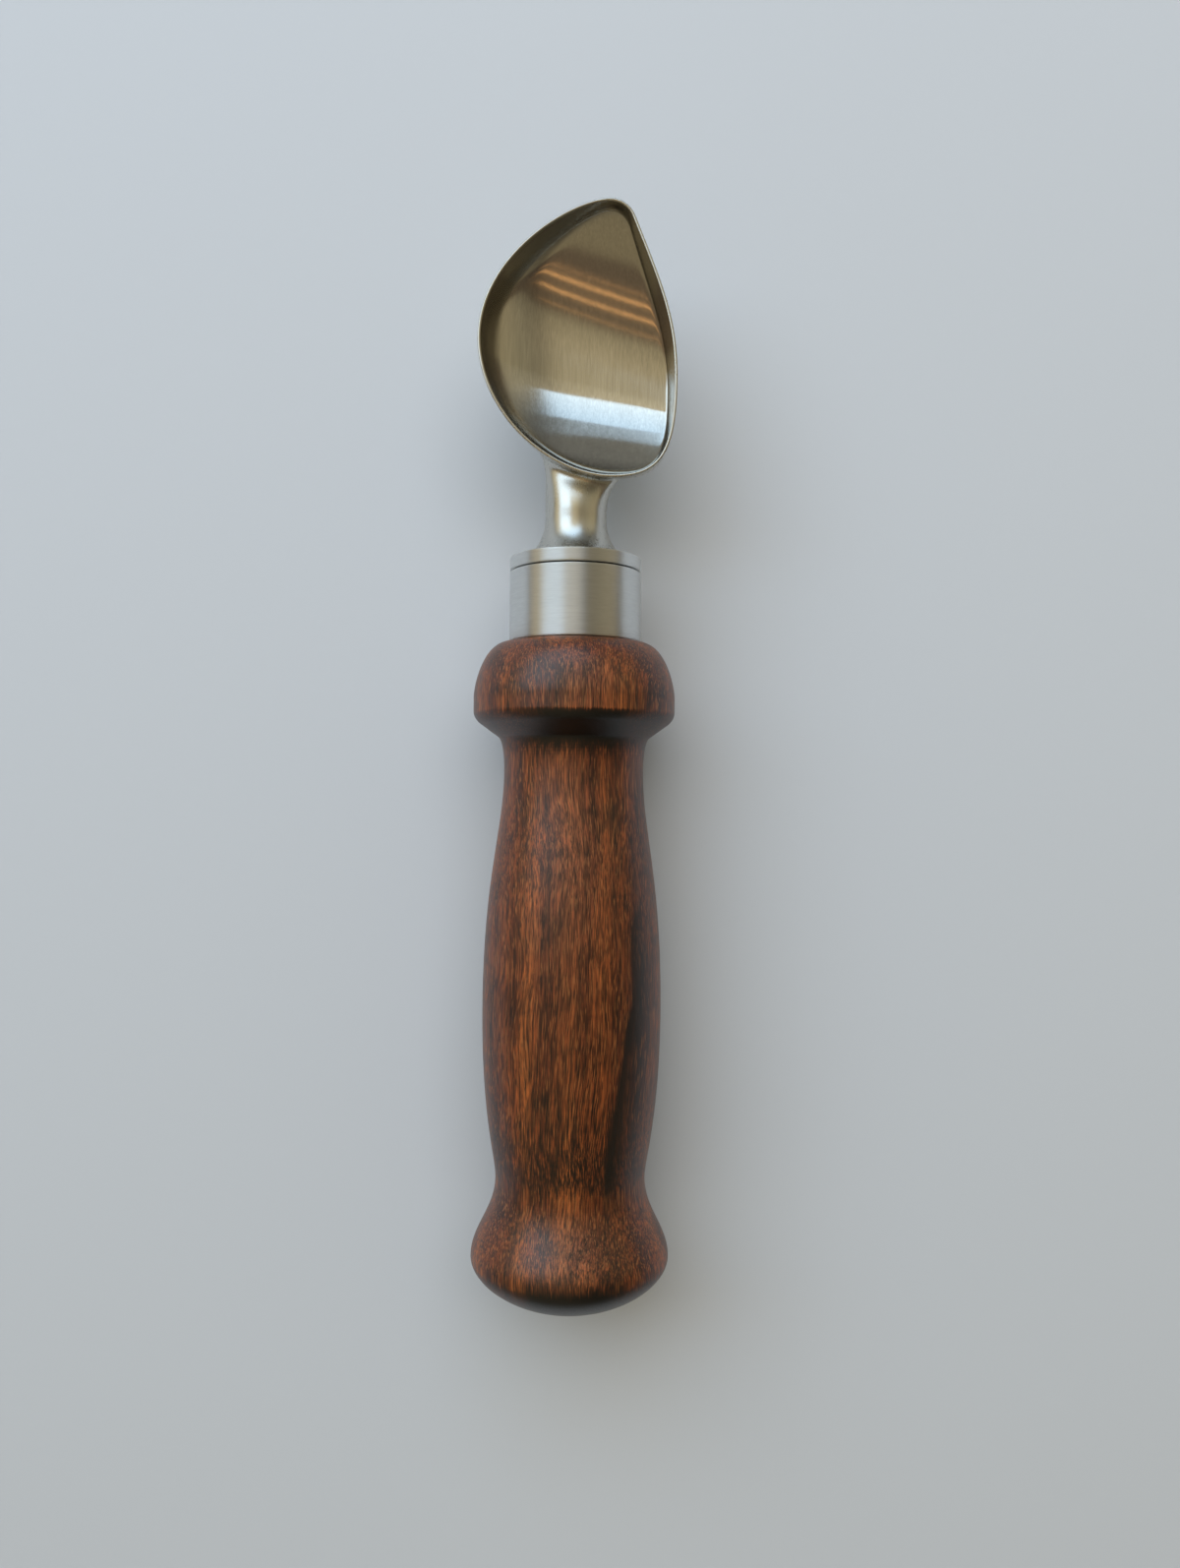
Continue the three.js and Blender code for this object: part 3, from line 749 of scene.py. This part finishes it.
def foot_rings(turns):
    """The neck's hollow foot and straight waist."""
    rings = []
    for bend in np.linspace(math.asin(NECK_FOOT_LENGTH / NECK_FOOT_ROUND), 0, FOOT_STEPS + 1)[1:]:
        radius = NECK_RADIUS + NECK_FOOT_ROUND * (1 - math.cos(bend))
        place = FLANGE_TOP + NECK_FOOT_LENGTH - NECK_FOOT_ROUND * math.sin(bend)
        rings.append(around_axis(radius, place, turns))
    return rings + [around_axis(NECK_RADIUS, FLARE_BASE, turns)]


def flare_rings(landing):
    """The neck's flare, which arrives along the bowl's outer face."""
    start = around_axis(NECK_RADIUS, FLARE_BASE, landing.turns)
    end = outer_face(landing.edge)
    arrival = outer_face(landing.edge + (landing.shore - landing.edge) * ARRIVAL_STEP) - end
    arrival /= np.linalg.norm(arrival, axis=1, keepdims=True)
    reach = np.linalg.norm(end - start, axis=1, keepdims=True) * FLARE_FULLNESS
    leave = start + np.array([0, 1, 0]) * reach
    arrive = end - arrival * reach
    return [cubic_at(share, start, leave, arrive, end) for share in np.linspace(0, 1, FLARE_STEPS + 1)[1:]]


def outer_rings(landing):
    """The bowl's outer face, from the landing to the lip."""
    top = landing.shore * lip_level(landing.bearing, OUTER, 0.0)[:, None]
    rings = []
    for share in np.linspace(0, 1, BOWL_STEPS + 1)[1:]:
        rings.append(outer_face(landing.edge + (top - landing.edge) * math.sin(share * math.pi / 2)))
    return rings


def lip_rings(along, bearing, inner_bearing):
    """The rounded lip, from the outer face over the rim to the inner face."""
    start = (1 - lip_level(bearing, OUTER, 0.0)) * arm_length(bearing, OUTER)
    inner_reach = (1 - lip_level(inner_bearing, INNER, BOWL_WALL)) * arm_length(inner_bearing, INNER)
    end = LIP_WIDTH + inner_reach
    rings = []
    for turn in np.linspace(0, math.pi, LIP_STEPS + 1)[1:-1]:
        plan = rim.inset(along, start + (end - start) * (1 - math.cos(turn)) / 2)
        height = AXIS_HEIGHT + RIM_HEIGHT + LIP_ROUND * (math.sin(turn) - 1)
        rings.append(np.stack([plan[:, 0], HEEL_PLACE + plan[:, 1], np.full(HEAD_SIDES, height)], axis=-1))
    return rings


def inner_rings(bearing):
    """The bowl's inner face, from the lip to the bottom."""
    top = lip_level(bearing, INNER, BOWL_WALL)
    rings = []
    for share in np.linspace(1, 0, BOWL_STEPS + 1)[:-1]:
        rings.append(bowl_surface(bearing, top * math.sin(share * math.pi / 2), INNER, BOWL_WALL))
    return rings


MATERIAL_TURNED, MATERIAL_NECK, MATERIAL_BOWL = range(3)


def head_object():
    landing = Landing()
    along = at_bearing(landing.bearing, OUTER[0], rim.at)
    arms = rim.inset(along, np.full(HEAD_SIDES, LIP_WIDTH)) - DEEPEST
    inner_bearing = np.arctan2(arms[:, 1], arms[:, 0])
    stretches = (
        (MATERIAL_TURNED, flange_rings(landing.turns)),
        (MATERIAL_NECK, foot_rings(landing.turns)),
        (MATERIAL_NECK, flare_rings(landing)),
        (MATERIAL_NECK, outer_rings(landing)),
        (MATERIAL_NECK, lip_rings(along, landing.bearing, inner_bearing)),
        (MATERIAL_BOWL, inner_rings(inner_bearing)),
    )
    rings = np.concatenate([stretch for mark, stretch in stretches])
    marks = [mark for mark, stretch in stretches for ring in stretch]
    ends = ((0, SOCKET_END, AXIS_HEIGHT), bowl_surface(0.0, 0.0, INNER, BOWL_WALL))
    brush = head_brush(rings, np.array(marks), landing.turns)
    return grid_object("head_casting", rings, *ends, ring_material=marks, brush=brush)


def head_brush(rings, marks, turns):
    """Directions of the finish: round the axis on the turned part, and along the handle inside the bowl."""
    columns = np.concatenate([turns, [2 * math.pi]]) / (2 * math.pi)
    closed = np.concatenate([rings, rings[:, :1]], axis=1)
    turned = np.stack([closed[..., 1] * MM, np.broadcast_to(columns, closed.shape[:2])], axis=-1)
    away = closed[..., :2] - (DEEPEST + (0, HEEL_PLACE))
    heading = away / np.maximum(np.linalg.norm(away, axis=-1, keepdims=True), TINY)
    floor = AXIS_HEIGHT + RIM_HEIGHT - BOWL_DEPTH
    unrolled = closed[..., :2] + heading * (closed[..., 2:] - floor)
    return np.where((marks == MATERIAL_BOWL)[:, None, None], unrolled * MM, turned)


# Materials

# Numbers of a mix node's factor, of its two colours and of its colour result
MIX_INPUTS = (0, 6, 7)
MIX_RESULT = 2


class Nodes:
    """A node tree, with short calls to add nodes to it."""

    def __init__(self, tree):
        self.tree = tree

    def node(self, kind, inputs=None, **settings):
        made = self.tree.nodes.new("ShaderNode" + kind)
        for name, value in settings.items():
            setattr(made, name, value)
        for name, value in (inputs or {}).items():
            self.feed(made.inputs[name], value)
        return made

    def feed(self, socket, value):
        """Links a node's output to a socket, or sets the socket's own value."""
        if isinstance(value, bpy.types.NodeSocket):
            self.tree.links.new(value, socket)
        else:
            socket.default_value = value

    def maths(self, operation, *values):
        return self.node("Math", dict(enumerate(values)), operation=operation).outputs[0]

    def vector(self, operation, one, other):
        return self.node("VectorMath", {0: one, 1: other}, operation=operation).outputs[0]

    def mix(self, factor, one, other, blend="MIX"):
        made = self.node("Mix", data_type="RGBA", blend_type=blend)
        for index, value in zip(MIX_INPUTS, (factor, one, other)):
            self.feed(made.inputs[index], value)
        return made.outputs[MIX_RESULT]

    def ramp(self, factor, stops):
        """A colour ramp; a stop is a place and a grey or a colour."""
        made = self.node("ValToRGB", {"Fac": factor})
        elements = made.color_ramp.elements
        while len(elements) < len(stops):
            elements.new(0.5)
        for element, (place, value) in zip(elements, stops):
            element.position = place
            element.color = (*((value,) * 3 if np.isscalar(value) else value), 1)
        return made.outputs["Color"]

    def ramp_between(self, value, low, high, stops):
        """A colour ramp for values from low to high, with its stops in the same measure."""
        factor = self.maths("MULTIPLY_ADD", value, 1 / (high - low), -low / (high - low))
        return self.ramp(factor, [((place - low) / (high - low), tone) for place, tone in stops])


class Shader(Nodes):
    """A material's nodes with a principled surface."""

    def __init__(self, name, **surface):
        self.material = bpy.data.materials.new(name)
        self.material.use_nodes = True
        super().__init__(self.material.node_tree)
        self.surface = self.tree.nodes["Principled BSDF"]
        self.set(**surface)

    def set(self, **sockets):
        for name, value in sockets.items():
            self.feed(self.surface.inputs[name.replace("_", " ")], value)
        return self.material

    def place(self):
        """Object coordinates in millimetres."""
        return self.vector("MULTIPLY", self.node("TexCoord").outputs["Object"], (1 / MM,) * 3)

    def noise(self, vector, lengths, detail=2.0, rough=0.5, distortion=0.0, output="Fac"):
        """Noise whose features have about the given lengths along X, Y and Z."""
        scaled = self.vector("MULTIPLY", vector, [1 / length for length in lengths])
        inputs = {"Vector": scaled, "Scale": 1.0, "Detail": detail, "Roughness": rough}
        return self.node("TexNoise", {**inputs, "Distortion": distortion}).outputs[output]

    def shaded(self, colour, factor, stops):
        """A colour multiplied by a ramp."""
        return self.mix(1.0, colour, self.ramp(factor, stops), "MULTIPLY")

    def frayed(self, value, fibre, reach):
        """A value moved either way by the fibres, by up to half the reach."""
        return self.maths("MULTIPLY_ADD", self.maths("SUBTRACT", fibre, 0.5), reach, value)

    def bump(self, height, distance, strength):
        inputs = {"Height": height, "Distance": distance * MM, "Strength": strength}
        return self.node("Bump", inputs).outputs["Normal"]


def wandering(s, place):
    """Places moved sideways by noise, so that the grain wanders along the handle."""
    grain = place
    for wander in WANDERS:
        shift = s.vector("SUBTRACT", s.noise(place, wander["lengths"], output="Color"), (0.5, 0.5, 0.5))
        grain = s.vector("ADD", grain, s.vector("MULTIPLY", shift, wander["reach"]))
    return grain


def streaked(s, colour, sides, fibre):
    """Thin lines, and a dark streak on the belly's right side which drifts inwards towards the butt."""
    behind = s.maths("MAXIMUM", s.maths("SUBTRACT", STREAK_DRIFT["start"], sides["Y"]), 0.0)
    across = s.maths("ADD", sides["X"], s.maths("MULTIPLY", behind, STREAK_DRIFT["slope"]))
    thin_lines = s.ramp_between(across, -HALF_WIDTH, HALF_WIDTH, THIN_LINES)
    colour = s.mix(1.0, colour, thin_lines, "MULTIPLY")
    edge = s.frayed(across, fibre, STREAK_FRAY)
    streak = s.ramp_between(edge, -HALF_WIDTH, HALF_WIDTH, STREAK_ACROSS)
    length = s.ramp_between(sides["Y"], LENGTHWISE["low"], LENGTHWISE["high"], STREAK_ALONG)
    return s.mix(s.maths("MULTIPLY", streak, length), colour, STREAK_TONE)


def end_grain_and_painted_shade(s, colour, sides, fibre):
    """Darker end grain and painted shade on faces turned towards the butt, black in blotches about the
    middle.
    """
    facing = s.node("SeparateXYZ", {0: s.node("TexCoord").outputs["Normal"]}).outputs["Y"]
    # Painted shade and end grain: faces turned towards the butt, away from the light, are darkened
    end_grain_and_shade = s.ramp_between(s.frayed(facing, fibre, END_GRAIN_AND_SHADE_FRAY), -1, 1, END_GRAIN_AND_SHADE_TURN)
    colour = s.mix(s.maths("MULTIPLY", end_grain_and_shade, END_GRAIN_AND_SHADE_STRENGTH), colour, END_GRAIN_AND_SHADE_TONE)
    off_middle = s.maths("ABSOLUTE", s.maths("SUBTRACT", sides["X"], BLOTCH_MIDDLE))
    across = s.ramp_between(off_middle, 0, HALF_WIDTH, BLOTCH_ACROSS)
    along = s.frayed(sides["Y"], fibre, BLOTCH_FRAY)
    butt = s.ramp_between(along, LENGTHWISE["low"], LENGTHWISE["high"], BLOTCH_ALONG)
    # Painted shadow under the bead, black in the middle, and dark wood at the butt
    blotch = s.maths("MULTIPLY", s.maths("MAXIMUM", end_grain_and_shade, butt), across)
    return s.mix(blotch, colour, BLOTCH_TONE)


def wood_material():
    """Oiled reddish hardwood whose grain runs along the handle."""
    s = Shader("oiled_hardwood", **WOOD_GLOSS)
    place = s.place()
    grain = wandering(s, place)
    fibre = s.noise(grain, **FIBRE)
    colour = s.ramp(s.noise(grain, **BANDS), BAND_TONES)
    colour = s.shaded(colour, s.noise(grain, **LINES), LINE_SHADES)
    colour = s.shaded(colour, s.noise(place, **FIGURE), FIGURE_SHADES)
    colour = s.shaded(colour, fibre, FIBRE_SHADES)
    flecks = s.ramp(s.noise(grain, **FLECKS), FLECK_SHARES)
    colour = s.mix(s.maths("MULTIPLY", flecks, FLECK_STRENGTH), colour, FLECK_TONE)
    pores = s.ramp(s.noise(grain, **PORES), PORE_SHARES)
    colour = s.mix(s.maths("MULTIPLY", pores, PORE_STRENGTH), colour, PORE_TONE)
    sides = s.node("SeparateXYZ", {0: grain}).outputs
    colour = streaked(s, colour, sides, fibre)
    # End grain and painted shade on faces turned towards the butt, with a painted shadow under the bead
    colour = end_grain_and_painted_shade(s, colour, sides, fibre)
    roughness = s.maths("MULTIPLY_ADD", fibre, WOOD_ROUGHNESS["fibre"], WOOD_ROUGHNESS["least"])
    height = s.maths("SUBTRACT", s.maths("MULTIPLY", fibre, WOOD_RELIEF["fibre"]), pores)
    normal = s.bump(height, WOOD_RELIEF["distance"], WOOD_RELIEF["strength"])
    return s.set(Base_Color=colour, Roughness=roughness, Normal=normal)


def steel_material(name, tone, lengths, roughness, anisotropy, streaks, depth):
    """Brushed steel. An anisotropic one needs the brush map."""
    s = Shader(name, Metallic=1.0, Anisotropic=anisotropy)
    place = s.place()
    scratch = s.noise(place, lengths, **SCRATCH)
    broad = s.noise(place, [BROAD_SCRATCH * length for length in lengths])
    smudge = s.noise(place, **SMUDGE)
    fine_part = s.maths("MULTIPLY", scratch, SCRATCH_SHARE["fine"])
    marks = s.maths("ADD", fine_part, s.maths("MULTIPLY", broad, SCRATCH_SHARE["broad"]))
    shades = {"dark": 1 - streaks, "middle": 1.0, "bright": 1 + streaks}
    colour = s.shaded(tone, marks, [(MARK_RANGE[mark], shade) for mark, shade in shades.items()])
    scratched = s.maths("MULTIPLY", marks, WEAR["scratch"])
    wear = s.maths("ADD", scratched, s.maths("MULTIPLY", smudge, WEAR["smudge"]))
    mean_wear = (WEAR["scratch"] + WEAR["smudge"]) / 2
    rough = s.maths("ADD", wear, roughness - mean_wear)
    if anisotropy:
        s.set(Tangent=s.node("Tangent", direction_type="UV_MAP", uv_map="brush").outputs[0])
    return s.set(Base_Color=colour, Roughness=rough, Normal=s.bump(scratch, depth, METAL_RELIEF))


def brass_material():
    """Turned brass with a little tarnish."""
    s = Shader("turned_brass", Metallic=1.0)
    place = s.place()
    lathe = s.noise(place, **LATHE)
    colour = s.ramp(s.noise(place, **TARNISH), BRASS_TONES)
    rough = s.maths("MULTIPLY_ADD", lathe, BRASS_ROUGHNESS["lathe"], BRASS_ROUGHNESS["least"])
    return s.set(Base_Color=colour, Roughness=rough, Normal=s.bump(lathe, LATHE_DEPTH, METAL_RELIEF))


# Pieces on their bodies

handle = turned_object("wood_handle", handle_profile())
collar = turned_object("steel_collar", collar_profile(), endless=True)
head = head_object()
stud = stud_object()
insert = insert_object()

turned_steel = steel_material("turned_steel", **TURNED_STEEL)
neck_steel = steel_material("satin_steel", **NECK_STEEL)
bowl_steel = steel_material("brushed_steel", **BOWL_STEEL)
for piece, materials in (
    (handle, (wood_material(),)),
    (collar, (turned_steel,)),
    (head, (turned_steel, neck_steel, bowl_steel)),
    (stud, (neck_steel,)),
    (insert, (brass_material(),)),
):
    for material in materials:
        piece.data.materials.append(material)

for piece, node, body, slot in (
    (handle, "handle", "handle_body", "handle_wood"),
    (insert, "threaded_insert", "handle_body", "insert_brass"),
    (collar, "collar", "collar_body", "collar_steel"),
    (stud, "threaded_stud", "head_body", "stud_steel"),
    (head, "scoop_head", "head_body", "head_steel"),
):
    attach(piece, body)
    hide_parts(node)


# Stage: floor, light and camera

def floor_object():
    mesh = bpy.data.meshes.new("floor")
    corners = [(-1, -1), (1, -1), (1, 1), (-1, 1)]
    mesh.from_pydata([(x * FLOOR_HALF, y * FLOOR_HALF, 0) for x, y in corners], [], [(0, 1, 2, 3)])
    mesh.materials.append(Shader("pale_floor", **FLOOR_FINISH).material)
    floor = linked("floor", mesh)


def room_light():
    """A warm ceiling, darker towards the near side, the right side and the horizon."""
    world = bpy.data.worlds.new("room")
    bpy.context.scene.world = world
    world.use_nodes = True
    room = Nodes(world.node_tree)
    direction = room.node("SeparateXYZ", {0: room.node("TexCoord").outputs["Generated"]}).outputs
    colour = room.ramp_between(direction["Y"], -1, 1, ROOM_ALONG)
    for axis, stops in (("X", ROOM_ACROSS), ("Z", ROOM_UPWARD)):
        colour = room.mix(1.0, colour, room.ramp_between(direction[axis], -1, 1, stops), "MULTIPLY")
    background = world.node_tree.nodes["Background"].inputs
    room.feed(background["Color"], colour)
    room.feed(background["Strength"], ROOM_LEVEL)


def soft_light(name, place, size, colour, radiance, in_metal=True, on_floor=True):
    """A rectangular soft light under the ceiling, which faces straight down."""
    lamp = bpy.data.lights.new(name, "AREA")
    lamp.shape = "RECTANGLE"
    lamp.size, lamp.size_y = size
    lamp.color = colour
    lamp.energy = radiance * math.pi * size[0] * size[1]
    obj = linked(name, lamp)
    obj.location = (*place, CEILING)
    obj.visible_camera = False
    obj.visible_glossy = in_metal
    obj.visible_diffuse = on_floor


def photo_camera():
    lens = bpy.data.cameras.new("camera")
    lens.sensor_width = SENSOR_WIDTH
    lens.sensor_fit = "AUTO"
    lens.lens = PHOTO_LENS / PHOTO_LONG_SIDE * SENSOR_WIDTH
    lens.clip_start = CLIP_START * MM
    camera = linked("camera", lens)
    camera.location = [length * MM for length in CAMERA_PLACE]
    camera.rotation_euler = (0, 0, CAMERA_TURN)
    bpy.context.scene.camera = camera


floor_object()
room_light()
for light in WINDOW_LIGHTS:
    soft_light(**light)
soft_light(**FILL_LIGHT, in_metal=False)
for strip_along, strip_radiance in STRIP_PLACES:
    soft_light(place=(STRIP_ACROSS, strip_along), radiance=strip_radiance, on_floor=False, **STRIP)
photo_camera()
bpy.context.scene.view_settings.view_transform = "Standard"
